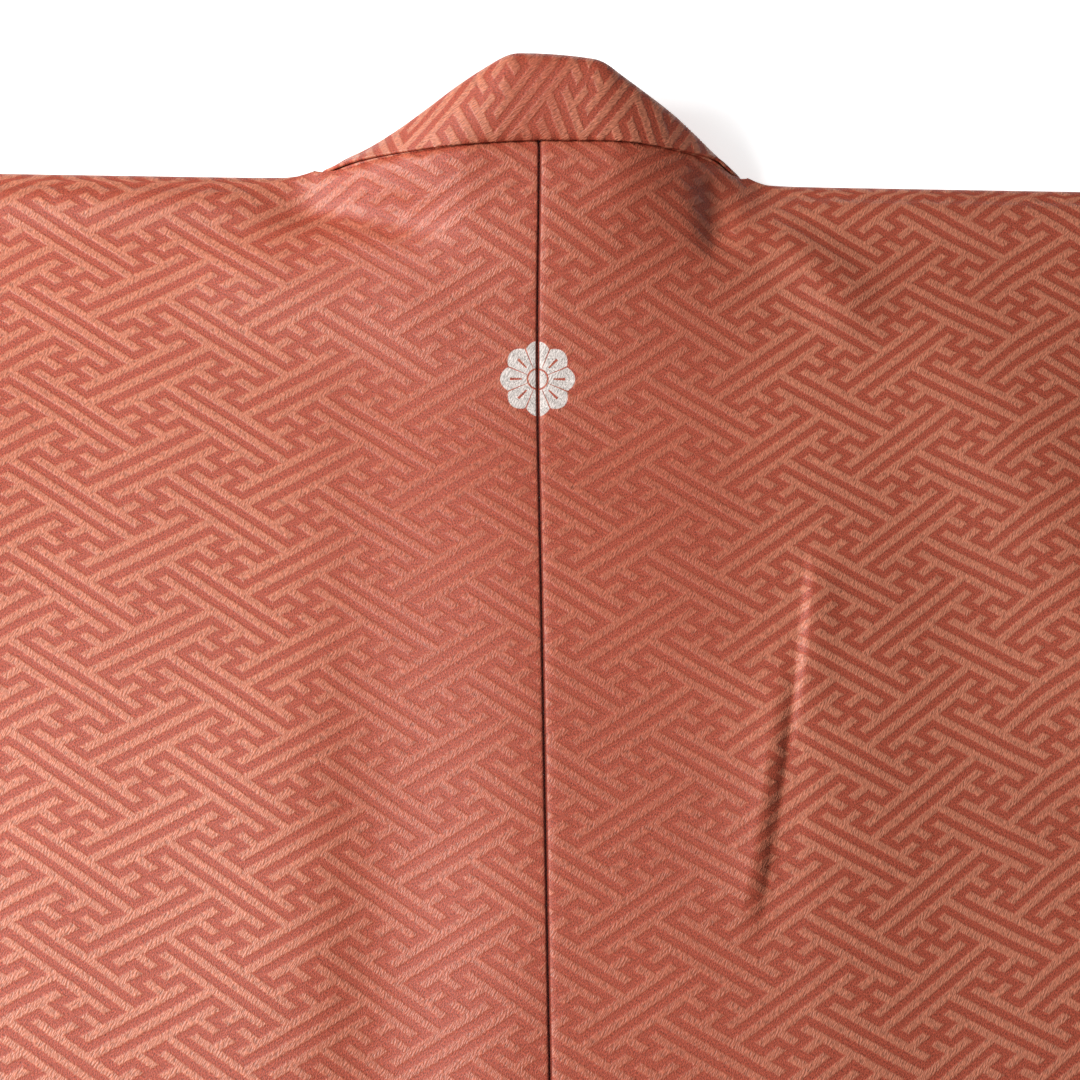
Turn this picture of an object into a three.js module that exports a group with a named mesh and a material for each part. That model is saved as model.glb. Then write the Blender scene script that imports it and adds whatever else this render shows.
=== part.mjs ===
// A formal Japanese kimono laid face down on a flat surface, back up, sleeves spread.
// Eight cut pieces, each a closed wall of cloth at its real size, in millimetres:
// two body lengths (back and front in one, folded at the shoulder), two overlap panels,
// two sleeves, the collar band and its cover.
// While it is laid out, x runs to the right along the shoulders, y from the hem to the collar
// with the shoulder fold at y = 0, and z up. The finished group is moved so that the middle of
// its footprint is the origin.
import * as THREE from 'three';

// Cloth
const CLOTH = 1.0; // lined silk, one wall
const COLLAR_CLOTH = 2.0; // the collar band is folded double
const SEAM = 0.3; // gap kept between sewn pieces
const LAY = 0.4; // gap kept between pieces that lie on each other

// Cut
const LENGTH = 1600; // shoulder fold to hem
const SHOULDER = 310; // centre back to sleeve seam
const BACK_HALF = 295; // centre back to side seam at the hem
const FRONT_WIDTH = 240; // side seam to overlap seam at the hem
const OVERLAP_WIDTH = 150; // overlap panel at the hem
const OVERLAP_TOP = 232; // shoulder fold down to the overlap panel's point
const COLLAR_END = 800; // shoulder fold down to the collar's end
const COLLAR_END_X = 75; // how far past the centre the collar's end reaches
const NECK = 62; // centre back to the side of the neck, as laid
const COLLAR_WIDTH = 55; // folded band, at the back
const COLLAR_END_WIDTH = 75; // folded band, at its ends
const COVER_CLOTH = 1.0;
const COVER_LENGTH = 430; // shoulder fold down to the end of the collar's cover
const ARMHOLE = 230; // shoulder fold down to the end of the sleeve seam
const UNDERARM = 380; // shoulder fold down to the top of the side seam
const SLEEVE_WIDTH = 330;
const SLEEVE_DROP = 490;
const CUFF = 230; // open part of the sleeve's outer edge
const SLEEVE_CORNER = 22; // rounding of the sleeve's lower corner

// Heights as laid, above the surface
const FOLD = 5.6; // height of the shoulder fold and the sleeve's top fold
const BODY_LIFT = 5.0; // back, where only one front lies below it
const SIDE_LIFT = 2.4; // back, at the sewn side seams
const SHELF = 2.5; // added height over both fronts
const BAND_LIFT = 2.5; // added height over the collar of the upper front
const UPPER_LIFT = 3.6; // upper front, where it crosses the lower one and its collar
const HEM_LIFT = 1.3; // upper front, where it crosses the lower one only
const NECK_LIFT = 22.4; // rise of the collar seam at the back of the neck, above the fold
const NECK_CROWN = 20; // half width of its flat middle
const NECK_FLANK = 45; // from there out to the shoulders
const NECK_FALL = 1.5; // how the flanks steepen
const NECK_FADE = 0.11; // how softly the flanks end
const NECK_SEAM_Y = 2.2; // where the seam crosses the centre back, above the shoulder fold
const NECK_SEAM_BOW = 0.7; // its bow, highest NECK_SEAM_BOW_X from the centre back
const NECK_SEAM_BOW_X = 40;
const NECK_SEAM_DROP = 1.3; // its drop from NECK_SEAM_DROP_X out to the side of the neck
const NECK_SEAM_DROP_X = 48;
const HUMP_X = 4; // the rise below the neck, on the back: its middle, half width and reach
const HUMP_WIDE = 60;
const HUMP_REACH = 105;
const HUMP_FALL = 2.4; // how it steepens towards the neck
const HUMP_TURN = 30; // where it takes over from the collar seam's rise
const ROLL = 1.6; // soft roll of the cloth just below the shoulder fold
const ROLL_Y = -9;
const ROLL_WIDE = 6;
const ROLL_FROM = 62;
const ROLL_TO = 90;
const RIM_NECK = 18; // folds fade out at the shoulder fold, but reach this much nearer the neck
const RIM_FROM = 2;
const RIM_TO = 26;
const RIM_HEM = 30; // and weaken by half over this much of the hem
const SEWN_SLEEVE = 3.4; // height of the sleeve where its two layers are sewn together
const HEM_ROUND = 1.2; // how far a sewn edge bulges past its two layers
const COLLAR_SET = 0.6; // the collar seam lies this far inside the front's edge
const SEAM_BOW = 9; // bow of the collar seam down the front

// Soft ridges (rise > 0) and troughs (rise < 0) of the back, each along a line from
// (x0, y0) to (x1, y1), wide on its left (wide_l) and on its right (wide_r).
const BACK_FOLDS = [
  { x0: 75, y0: -112, x1: 57, y1: -214, rise: -3.0, wide_l: 12, wide_r: 5 },
  { x0: 85, y0: -110, x1: 70, y1: -222, rise: 2.8, wide_l: 7, wide_r: 30 },
  { x0: -70, y0: -130, x1: -62, y1: -330, rise: 3.2, wide_l: 26, wide_r: 16 },
  { x0: -44, y0: -170, x1: -40, y1: -360, rise: -1.2, wide_l: 12, wide_r: 20 },
  { x0: -84, y0: -7, x1: -26, y1: -19, rise: -2.4, wide_l: 6, wide_r: 7 },
  { x0: -96, y0: -30, x1: -20, y1: -44, rise: 1.6, wide_l: 12, wide_r: 14 },
  { x0: 49, y0: 2, x1: 45, y1: -30, rise: -2.6, wide_l: 5, wide_r: 8 },
  { x0: 66, y0: -8, x1: 96, y1: -46, rise: 2.0, wide_l: 9, wide_r: 10 },
  { x0: 120, y0: -40, x1: 190, y1: -200, rise: 2.4, wide_l: 22, wide_r: 26 },
  { x0: -150, y0: -60, x1: -215, y1: -230, rise: 2.8, wide_l: 24, wide_r: 24 },
  { x0: -180, y0: -420, x1: -150, y1: -900, rise: 4.0, wide_l: 30, wide_r: 22 },
  { x0: 150, y0: -380, x1: 185, y1: -860, rise: 4.2, wide_l: 22, wide_r: 32 },
  { x0: 60, y0: -640, x1: 44, y1: -1180, rise: 3.6, wide_l: 26, wide_r: 20 },
  { x0: -90, y0: -900, x1: -118, y1: -1520, rise: 3.8, wide_l: 22, wide_r: 30 },
  { x0: 200, y0: -1040, x1: 176, y1: -1570, rise: 3.4, wide_l: 30, wide_r: 22 },
  { x0: -222, y0: -1120, x1: -205, y1: -1480, rise: 3.0, wide_l: 20, wide_r: 20 },
  { x0: 105, y0: -1240, x1: 96, y1: -1580, rise: 2.6, wide_l: 18, wide_r: 24 },
];

// The same for each sleeve, with x measured from the sleeve seam outwards.
const SLEEVE_FOLDS = [
  { x0: 40, y0: -60, x1: 92, y1: -420, rise: 3.2, wide_l: 22, wide_r: 30 },
  { x0: 150, y0: -30, x1: 182, y1: -300, rise: 2.6, wide_l: 26, wide_r: 20 },
  { x0: 250, y0: -120, x1: 236, y1: -450, rise: 3.0, wide_l: 20, wide_r: 28 },
  { x0: 20, y0: -24, x1: 140, y1: -70, rise: 1.8, wide_l: 12, wide_r: 14 },
];

// The half collar from the centre back to the side of the neck. seam is the distance of the
// collar seam from the centre back; crest is where the band rolls over; end is its inner edge.
// The band rolls over close to the seam at the neck's side and runs on beneath the fronts.
const COLLAR_BACK = [
  { seam: 0, crest_x: 0, crest_y: 23.1, crest_z: 36.3, end_x: 0, end_y: 19, end_z: 13 },
  { seam: 9, crest_x: 7, crest_y: 23, crest_z: 36.2, end_x: 7, end_y: 18, end_z: 12.5 },
  { seam: 17, crest_x: 12.5, crest_y: 22.7, crest_z: 35.8, end_x: 11, end_y: 12, end_z: 11.5 },
  { seam: 25, crest_x: 18.2, crest_y: 20.5, crest_z: 33.1, end_x: 13.5, end_y: 5, end_z: 9.5 },
  { seam: 33, crest_x: 26.5, crest_y: 16.2, crest_z: 29.1, end_x: 14.5, end_y: -4, end_z: 7.5 },
  { seam: 40, crest_x: 34, crest_y: 12.5, crest_z: 25.2, end_x: 13, end_y: -12, end_z: 5.5 },
  { seam: 46.5, crest_x: 42, crest_y: 8.7, crest_z: 20.9, end_x: 11.5, end_y: -17, end_z: 4.5 },
  { seam: 52.5, crest_x: 49.5, crest_y: 5.4, crest_z: 16.3, end_x: 10.5, end_y: -20, end_z: 4 },
  { seam: 57.5, crest_x: 56, crest_y: 3, crest_z: 12.2, end_x: 9.5, end_y: -22.5, end_z: 3.8 },
  { seam: 61, crest_x: 60.4, crest_y: 1.6, crest_z: 9, end_x: 9, end_y: -24, end_z: 3.5 },
];
const NECK_STATIONS = 12; // sections of the collar from the centre back to the side of the neck
const BAND_STEPS = 8; // faces across the band
const CREST_SKEW = 4.5; // the roll's top leans this far to the right of the centre back
const CREST_SKEW_FROM = 46;
const CREST_SKEW_TO = 62;

const clamp = (v, lo, hi) => Math.min(hi, Math.max(lo, v));
const mix = (a, b, t) => a + (b - a) * t;

function smooth(lo, hi, v) {
  const t = clamp((v - lo) / (hi - lo), 0, 1);
  return t * t * (3 - 2 * t);
}

// Height of one soft fold at a point: a bell across its line that fades out at both ends.
function foldHeight(f, x, y) {
  const dx = f.x1 - f.x0;
  const dy = f.y1 - f.y0;
  const run = Math.hypot(dx, dy);
  const along = ((x - f.x0) * dx + (y - f.y0) * dy) / (run * run);
  const across = ((x - f.x0) * -dy + (y - f.y0) * dx) / run;
  const wide = across > 0 ? f.wide_r : f.wide_l;
  const fade = smooth(-0.12, 0.28, along) * (1 - smooth(0.72, 1.12, along));
  return f.rise * fade * Math.exp(-((across / wide) ** 2));
}

const foldSum = (folds, x, y) => folds.reduce((sum, f) => sum + foldHeight(f, x, y), 0);

// The rise at the back of the neck as a share of its height, flat in the middle and fading
// out on the shoulders.
function neckRise(x) {
  const rest = 1 - (Math.max(0, Math.abs(x) - NECK_CROWN) / NECK_FLANK) ** NECK_FALL;
  return (rest + Math.hypot(rest, NECK_FADE)) / 2;
}

// The collar seam across the back of the neck.
function neckSeamY(x) {
  const bow = NECK_SEAM_BOW * Math.sin((Math.PI * x) / (2 * NECK_SEAM_BOW_X)) ** 2;
  return NECK_SEAM_Y + bow - NECK_SEAM_DROP * smooth(NECK_SEAM_DROP_X, NECK, Math.abs(x));
}

// Its height, which is also the shoulder fold's farther out.
const neckSeamZ = (x) => FOLD + NECK_LIFT * neckRise(x);

// Rise of the upper (right) front above the surface, over the lower one and its collar. Each pair
// says where the rise starts and where it is whole.
const LAP_TOP = [150, 248];
const LAP_COLLAR_END = [830, 930];
const LAP_SIDE = [190, 152];
const LAP_SIDE_LOW = [135, 98];

function upperLift(x, y) {
  const low = smooth(...LAP_COLLAR_END, -y);
  const high = UPPER_LIFT * smooth(...LAP_TOP, -y) * (1 - low) * (1 - smooth(LAP_SIDE[1], LAP_SIDE[0], x));
  return high + HEM_LIFT * low * (1 - smooth(LAP_SIDE_LOW[1], LAP_SIDE_LOW[0], x));
}

// What the back lies over: the collar of the upper front crosses from CROSS_TOP to CROSS_END (its
// left and right edges), and the back settles beside it from CROSS_NEAR to CROSS_FAR away.
const CROSS_TOP = [5, NECK];
const CROSS_END = [-150, -70];
const CROSS_NEAR = 8;
const CROSS_FAR = 60;
const CROSS_SIDE = [155, 205];
const CROSS_LOW = [840, 960];
const BAND_LOW = [30, 150];
const SLEEVE_SIDE = [200, 300];

// Height of the back's outer face.
function backHeight(x, y) {
  const down = clamp((-y - OVERLAP_TOP) / (COLLAR_END - OVERLAP_TOP), 0, 1);
  const upper = 1 - smooth(...CROSS_LOW, -y);
  const bandLeft = mix(CROSS_TOP[0], CROSS_END[0], down);
  const bandRight = mix(CROSS_TOP[1], CROSS_END[1], down);
  const fromLeft = smooth(bandLeft - CROSS_FAR, bandLeft - CROSS_NEAR, x);
  const overBand = fromLeft * (1 - smooth(bandRight + CROSS_NEAR, bandRight + CROSS_FAR, x));
  const overBoth = fromLeft * (1 - smooth(...CROSS_SIDE, x));
  let z = BODY_LIFT + upper * (SHELF * overBoth + BAND_LIFT * overBand * smooth(...BAND_LOW, -y));
  const side = smooth(BACK_HALF - CROSS_FAR, BACK_HALF - 1, Math.abs(x)) * smooth(ARMHOLE, UNDERARM, -y);
  z = mix(z, SIDE_LIFT, side);
  const sleeveSide = smooth(...SLEEVE_SIDE, Math.abs(x)) * (1 - smooth(ARMHOLE, UNDERARM, -y));
  z = mix(z, FOLD, Math.max(sleeveSide, 1 - smooth(0, CROSS_FAR, -y)));
  const hump = Math.exp(-(((x - HUMP_X) / HUMP_WIDE) ** 2));
  const neck = NECK_LIFT * mix(neckRise(x), hump, smooth(0, HUMP_TURN, -y)) * (1 - smooth(-6, HUMP_REACH, -y)) ** HUMP_FALL;
  const roll = ROLL * Math.exp(-(((y - ROLL_Y) / ROLL_WIDE) ** 2)) * smooth(ROLL_FROM, ROLL_TO, Math.abs(x));
  const nearNeck = RIM_NECK * (1 - smooth(44, 84, Math.abs(x)));
  const rim = smooth(RIM_FROM, RIM_TO, -y + nearNeck) * (1 - smooth(LENGTH - RIM_HEM, LENGTH, -y) * 0.5);
  return z + neck + roll + foldSum(BACK_FOLDS, x, y) * rim * (1 - side);
}

// Half width of the back, centre seam to side seam.
const backEdge = (y) => mix(SHOULDER, BACK_HALF, smooth(ARMHOLE, UNDERARM + 240, -y));
// Inner edge of the front, where the collar or the overlap panel is sewn on.
const frontEdge = (y) => mix(NECK + COLLAR_SET, BACK_HALF - FRONT_WIDTH, smooth(0, LENGTH, -y));

const SHARPEST_TURN = 0.64; // the cosine past which a wall's corner is cut short

// Directions out of a face at its points, stretched where the face turns so that a step along
// them keeps its distance from the faces around.
function outward(points, quads) {
  const sums = points.map(() => new THREE.Vector3());
  const around = points.map(() => []);
  for (const corners of quads) {
    const [a, b, c, d] = corners.map((i) => points[i]);
    const face = new THREE.Vector3().crossVectors(new THREE.Vector3().subVectors(c, a), new THREE.Vector3().subVectors(d, b));
    face.normalize();
    for (const i of corners) {
      sums[i].add(face);
      around[i].push(face);
    }
  }
  return sums.map((sum, i) => {
    sum.normalize();
    const turn = Math.min(...around[i].map((face) => face.dot(sum)));
    return sum.divideScalar(clamp(turn, SHARPEST_TURN, 1));
  });
}

// A closed wall of cloth along a face, between two distances out of it. A boundary edge of the
// face gets a rim.
function wall(name, points, quads, from, to, material) {
  const out = outward(points, quads);
  const outer = points.map((p, i) => p.clone().addScaledVector(out[i], to));
  const inner = points.map((p, i) => p.clone().addScaledVector(out[i], from));
  const positions = [...outer, ...inner].flatMap((p) => [p.x, p.y, p.z]);
  const count = points.length;
  const index = [];
  const quad = (a, b, c, d) => index.push(a, b, c, a, c, d);
  const edges = new Map();
  for (const [a, b, c, d] of quads) {
    quad(a, b, c, d);
    index.push(d + count, c + count, a + count, c + count, b + count, a + count);
    for (const [start, end] of [[a, b], [b, c], [c, d], [d, a]]) {
      if (!edges.delete(`${end}_${start}`)) edges.set(`${start}_${end}`, [start, end]);
    }
  }
  for (const [start, end] of edges.values()) quad(end, start, start + count, end + count);
  const geometry = new THREE.BufferGeometry();
  geometry.setAttribute('position', new THREE.Float32BufferAttribute(positions, 3));
  geometry.setIndex(index);
  geometry.computeVertexNormals();
  const mesh = new THREE.Mesh(geometry, material);
  mesh.name = name;
  return mesh;
}

// Evenly spaced numbers from a to b, both included.
const steps = (a, b, n) => Array.from({ length: n + 1 }, (_, i) => mix(a, b, i / n));

// Points on the soft fold between a face that lies above and one that lies below, in order
// from the top: y is measured from the fold's outermost line, and share is the height as a
// share of the fold's.
const FOLD_STEPS = [
  { y: -0.9, share: 0.85 },
  { y: 0, share: 0.5 },
  { y: -0.9, share: 0.15 },
];
const FOLD_START = -3.2;

// A body length: the back, over the shoulder, and down the front, on one side (-1 left, 1 right).
function bodyLength(side, material) {
  const acrossNeck = [SEAM / 2, 14, 28, 40, 50, 57, NECK + 0.8];
  const beyond = [76, 96, 124, 160, 204, 250, 286, SHOULDER];
  const columns = [...acrossNeck, ...beyond];
  const firstFront = acrossNeck.length - 1;
  const rows = [
    ...steps(-LENGTH, -430, 13), -350, -290, -ARMHOLE, -200, -172, -144, -118, -94, -72, -52, -34, -19, -9,
  ];
  const frontRows = [-14, -70, -150, -182, -215, -248, -420, -620, -830, -880, -930, -1120, -1360, -LENGTH];
  const points = [];
  const quads = [];
  const backX = (c, y) => {
    const x = columns[c];
    const share = clamp((x - NECK) / (SHOULDER - NECK), 0, 1);
    return x - share * (SHOULDER - backEdge(y));
  };
  const add = (x, y, z) => points.push(new THREE.Vector3(side * x, y, z)) - 1;
  const grid = [];
  for (const y of rows) grid.push(columns.map((_, c) => add(backX(c, y), y, backHeight(side * backX(c, y), y))));
  grid.push(columns.map((x, c) => {
    if (c < firstFront) {
      const away = mix(0.8, 4, smooth(30, 56, x));
      return add(x, neckSeamY(x) - away, neckSeamZ(x) - 0.3 * away);
    }
    return add(x, FOLD_START, neckSeamZ(x));
  }));
  const link = (lower, upper) => {
    for (let c = 0; c < lower.length - 1; c += 1) {
      if (lower[c] === undefined || upper[c] === undefined) continue;
      quads.push([lower[c], lower[c + 1], upper[c + 1], upper[c]]);
    }
  };
  for (let r = 0; r < grid.length - 1; r += 1) link(grid[r], grid[r + 1]);
  let last = grid[grid.length - 1].map((p, c) => (c < firstFront ? undefined : p));
  const turned = FOLD_STEPS.map(({ y, share }) => columns.map((x, c) => {
    if (c < firstFront) return undefined;
    return add(x, y, share * neckSeamZ(x));
  }));
  const front = [FOLD_START, ...frontRows].map((y) => columns.map((x, c) => {
    if (c < firstFront) return undefined;
    const share = (x - columns[firstFront]) / (SHOULDER - columns[firstFront]);
    const fx = mix(frontEdge(y), backEdge(y), share);
    return add(fx, y, side > 0 ? upperLift(fx, y) : 0);
  }));
  for (const row of [...turned, ...front]) {
    link(last, row);
    last = row;
  }
  if (side < 0) quads.forEach((q) => q.reverse());
  return wall(side < 0 ? 'body_left' : 'body_right', points, quads, -CLOTH, 0, material);
}

// The line of the collar seam down one front, from the side of the neck to the collar's end,
// as distance down from the shoulder fold to distance from the centre.
function frontSeamX(down) {
  const straight = frontEdge(-down) - COLLAR_SET;
  if (down <= OVERLAP_TOP) return straight;
  const t = (down - OVERLAP_TOP) / (COLLAR_END - OVERLAP_TOP);
  const top = frontEdge(-OVERLAP_TOP) - COLLAR_SET;
  return top - (top + COLLAR_END_X) * t + SEAM_BOW * Math.sin(Math.PI * clamp(t, 0, 1));
}

// An overlap panel: a long strip whose top is cut away along the collar seam.
function overlapPanel(side, material) {
  const rows = [...steps(-LENGTH, -COLLAR_END - 40, 7), ...steps(-COLLAR_END - 6, -OVERLAP_TOP - 10, 8)];
  const across = 5;
  const points = [];
  const quads = [];
  rows.forEach((y) => {
    const inner = frontEdge(y) - SEAM;
    const hemX = mix(-COLLAR_END_X, BACK_HALF - FRONT_WIDTH - OVERLAP_WIDTH, (-y - COLLAR_END) / (LENGTH - COLLAR_END));
    const edge = -y > COLLAR_END ? hemX : frontSeamX(-y) + 4 * SEAM;
    for (let c = 0; c <= across; c += 1) {
      const x = mix(edge, inner - (-y < OVERLAP_TOP + 60 ? 0.1 : 0), c / across);
      const lift = side > 0 ? upperLift(x, y) : 0;
      points.push(new THREE.Vector3(side * x, y, lift));
    }
  });
  for (let r = 0; r < rows.length - 1; r += 1) {
    for (let c = 0; c < across; c += 1) {
      const a = r * (across + 1) + c;
      quads.push([a, a + across + 1, a + across + 2, a + 1]);
    }
  }
  if (side < 0) quads.forEach((q) => q.reverse());
  return wall(side < 0 ? 'overlap_left' : 'overlap_right', points, quads, -CLOTH, 0, material);
}

// A sleeve: one length folded at the top, sewn along the bottom and below the cuff.
function sleeve(side, material) {
  const columns = [0, 32, 70, 114, 162, 210, 256, 298, SLEEVE_WIDTH];
  const rows = [FOLD_START, -26, -74, -128, -182, -CUFF, -276, -330, -384, -434, -468, -478, -485, -SLEEVE_DROP];
  const cuffRow = rows.indexOf(-CUFF);
  const points = [];
  const quads = [];
  const add = (x, y, z) => points.push(new THREE.Vector3(side * (SHOULDER + SEAM + x), y, z)) - 1;
  const outerX = (y) => {
    const drop = clamp(-y - (SLEEVE_DROP - SLEEVE_CORNER), 0, SLEEVE_CORNER);
    return SLEEVE_WIDTH - SLEEVE_CORNER + Math.sqrt(SLEEVE_CORNER ** 2 - drop ** 2);
  };
  const topHeight = (x, y) => {
    const hem = smooth(SLEEVE_DROP - 60, SLEEVE_DROP, -y);
    const belowCuff = smooth(CUFF, CUFF + 70, -y) * smooth(SLEEVE_WIDTH - 60, SLEEVE_WIDTH, x);
    const sewn = Math.max(hem, belowCuff);
    const atCuff = 1 - 0.6 * smooth(SLEEVE_WIDTH - 30, SLEEVE_WIDTH, x);
    const atBody = smooth(-4, 24, x + (-y > ARMHOLE ? 14 : 0));
    const loose = smooth(0, 40, -y) * (1 - sewn) * atCuff * atBody;
    return mix(FOLD, SEWN_SLEEVE, sewn) + foldSum(SLEEVE_FOLDS, x, y) * loose;
  };
  const place = (y, top) => columns.map((c) => {
    const x = c * (outerX(y) / SLEEVE_WIDTH);
    return add(x, y, top ? topHeight(x, y) : 0);
  });
  const back = rows.map((y) => place(y, true));
  const front = rows.map((y) => place(y, false));
  const turned = FOLD_STEPS.map(({ y, share }) => columns.map((c) => add(c, y, share * FOLD)));
  const link = (one, two) => {
    for (let c = 0; c < one.length - 1; c += 1) quads.push([two[c], two[c + 1], one[c + 1], one[c]]);
  };
  for (let r = 0; r < rows.length - 1; r += 1) {
    link(back[r], back[r + 1]);
    link(front[r + 1], front[r]);
  }
  const around = [back[0], ...turned, front[0]];
  for (let r = 0; r < around.length - 1; r += 1) link(around[r + 1], around[r]);
  const last = columns.length - 1;
  const sewnEdge = [
    ...rows.slice(cuffRow, -1).map((y, i) => ({ b: back[cuffRow + i][last], f: front[cuffRow + i][last] })),
    ...columns.map((_, c) => ({ b: back[rows.length - 1][last - c], f: front[rows.length - 1][last - c] })),
  ];
  const middle = new THREE.Vector3();
  sewnEdge.forEach((e, i) => {
    middle.addVectors(points[e.b], points[e.f]).multiplyScalar(0.5);
    const before = points[sewnEdge[Math.max(0, i - 1)].b];
    const after = points[sewnEdge[Math.min(sewnEdge.length - 1, i + 1)].b];
    const out = new THREE.Vector3(before.y - after.y, after.x - before.x, 0).normalize().multiplyScalar(side * HEM_ROUND);
    e.m = points.push(middle.clone().add(out)) - 1;
  });
  for (let i = 0; i < sewnEdge.length - 1; i += 1) {
    const [p, q] = [sewnEdge[i], sewnEdge[i + 1]];
    quads.push([p.b, q.b, q.m, p.m], [p.m, q.m, q.f, p.f]);
  }
  if (side < 0) quads.forEach((q) => q.reverse());
  return wall(side < 0 ? 'sleeve_left' : 'sleeve_right', points, quads, -CLOTH, 0, material);
}

const BAND_TURN = 0.12; // down the fronts, the crest's share of the way from the seam to the inner edge
const BAND_LEAN = 24; // how far the inner edge lags behind the seam at the side of the neck
const BAND_LEAN_END = 75;
const NECK_SIDE = { seam: 7, crest: 6, end: 3 }; // heights where the band turns down the front

// Stations of one half of the collar, from the centre back to the collar's end. Each gives
// the seam point, the crest of the roll and the band's inner edge.
function collarStations(side) {
  const rows = COLLAR_BACK.map((row) => {
    const skew = side * CREST_SKEW * (1 - smooth(CREST_SKEW_FROM, CREST_SKEW_TO, row.crest_x));
    return {
      seam: new THREE.Vector3(row.seam, neckSeamY(row.seam), neckSeamZ(row.seam)),
      crest: new THREE.Vector3(row.crest_x + skew, row.crest_y, row.crest_z),
      end: new THREE.Vector3(row.end_x + skew * 0.5, row.end_y, row.end_z),
    };
  });
  const lines = ['seam', 'crest', 'end'].map((key) => new THREE.CatmullRomCurve3(rows.map((row) => row[key])));
  const stations = steps(0, 1, NECK_STATIONS).map((t) => {
    const [seam, crest, end] = lines.map((line) => line.getPoint(t).multiply(new THREE.Vector3(side, 1, 1)));
    return { seam, crest, end };
  });
  const coverLift = (down) => (COVER_CLOTH + LAY) * (1 - smooth(COVER_LENGTH + 6, COVER_LENGTH + 60, down));
  const downs = [0.5, 3, 9, 26, 60, 110, 170, OVERLAP_TOP, 300, 370, COVER_LENGTH, COVER_LENGTH + 30, COVER_LENGTH + 64, 560, 640, 720, COLLAR_END];
  downs.forEach((down, i) => {
    const x = i === 0 ? NECK - 0.2 : frontSeamX(down);
    const ahead = frontSeamX(down + 1) - frontSeamX(down);
    const across = new THREE.Vector2(-1, -ahead).normalize();
    const width = mix(COLLAR_WIDTH, COLLAR_END_WIDTH, smooth(300, COLLAR_END, down));
    const lean = mix(BAND_LEAN, 0, smooth(0, BAND_LEAN_END, down));
    const lift = coverLift(down) + (side > 0 ? upperLift(40, -down) : 0);
    const settled = smooth(0, 6, down);
    const at = (share, z) => new THREE.Vector3(side * (x + across.x * width * share), -down + across.y * width * share - lean * share, z);
    stations.push({
      seam: at(0, mix(NECK_SIDE.seam, lift, settled)),
      crest: at(BAND_TURN, mix(NECK_SIDE.crest, lift, settled)),
      end: at(1, mix(NECK_SIDE.end, lift, smooth(0, 9, down))),
    });
  });
  return stations;
}

const CREST_LOW = 8; // height below which the band lies flat, and the most that counts above it
const CREST_MOST = 22;
const BULGE = new THREE.Vector3(0, -0.04, 0.05); // of the band between seam and crest, for each mm

// The band's outer face across its width at one station, in even steps. Past the crest it drops
// steeply, so that the inner layer clears the outer one.
function bandSection({ seam, crest, end }) {
  const roll = crest.distanceTo(end);
  const lead = crest.distanceTo(seam);
  const bulge = BULGE.clone().multiplyScalar(lead * clamp((crest.z - CREST_LOW) / 20, 0, 1));
  const half = seam.clone().lerp(crest, 0.55).add(bulge);
  const raised = clamp(crest.z - CREST_LOW, 0, CREST_MOST);
  const upright = smooth(24, 40, crest.z);
  const over = crest.clone().lerp(end, mix(0.08, 0.16, upright));
  over.y += 0.12 * raised;
  over.z -= mix(0.16, 0, upright) * raised;
  const under = crest.clone().lerp(end, clamp(CREST_MOST / roll, 0.3, 0.6));
  under.y += 0.16 * raised;
  under.z -= mix(0.4, 0, upright) * (crest.z - end.z);
  const curve = new THREE.CatmullRomCurve3([seam, half, crest, over, under, end], false, 'centripetal');
  return curve.getSpacedPoints(BAND_STEPS);
}

// The whole row of sections, from the collar's left end round the neck to its right end.
function bandSections(keep) {
  const left = collarStations(-1).reverse();
  const right = collarStations(1).slice(1);
  return [...left, ...right].filter(keep).map(bandSection);
}

function gridQuads(rowCount, width) {
  const quads = [];
  for (let r = 0; r < rowCount - 1; r += 1) {
    for (let c = 0; c < width - 1; c += 1) {
      const a = r * width + c;
      quads.push([a, a + width, a + width + 1, a + 1]);
    }
  }
  return quads;
}

function collar(material) {
  const sections = bandSections(() => true);
  return wall('collar', sections.flat(), gridQuads(sections.length, sections[0].length), -COLLAR_CLOTH, 0, material);
}

// The cover lies on the collar's outer face, round the neck and a little way down each front.
function collarCover(material) {
  const sections = bandSections((station) => station.seam.y > -COVER_LENGTH - 1);
  const quads = gridQuads(sections.length, sections[0].length);
  return wall('collar_cover', sections.flat(), quads, LAY, LAY + COVER_CLOTH, material);
}

function silk(shade) {
  return new THREE.MeshStandardMaterial({ color: shade, roughness: 0.55, metalness: 0, side: THREE.DoubleSide });
}

const SILK = 0xc4765e;
const COLLAR_SILK = 0xbf705a;

const kimono = new THREE.Group();
kimono.name = 'kimono';
kimono.add(
  bodyLength(-1, silk(SILK)),
  bodyLength(1, silk(SILK)),
  overlapPanel(-1, silk(SILK)),
  overlapPanel(1, silk(SILK)),
  sleeve(-1, silk(SILK)),
  sleeve(1, silk(SILK)),
  collar(silk(COLLAR_SILK)),
  collarCover(silk(COLLAR_SILK)),
);

// The origin is the middle of the footprint, on the surface.
const footprint = new THREE.Box3().setFromObject(kimono);
const centre = footprint.getCenter(new THREE.Vector3());
kimono.position.set(-centre.x, -centre.y, -footprint.min.z);

export default kimono;
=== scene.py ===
# A formal kimono of figured silk, laid face down with its back up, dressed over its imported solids.
# Shapes are worked out in millimetres in the cutter's own axes: x to the right from the centre back,
# y from the hem to the collar with the shoulder fold at 0, and z up from the surface.
import math

import bmesh
import bpy
from mathutils import Matrix, Vector
from mathutils.geometry import interpolate_bezier


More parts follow.
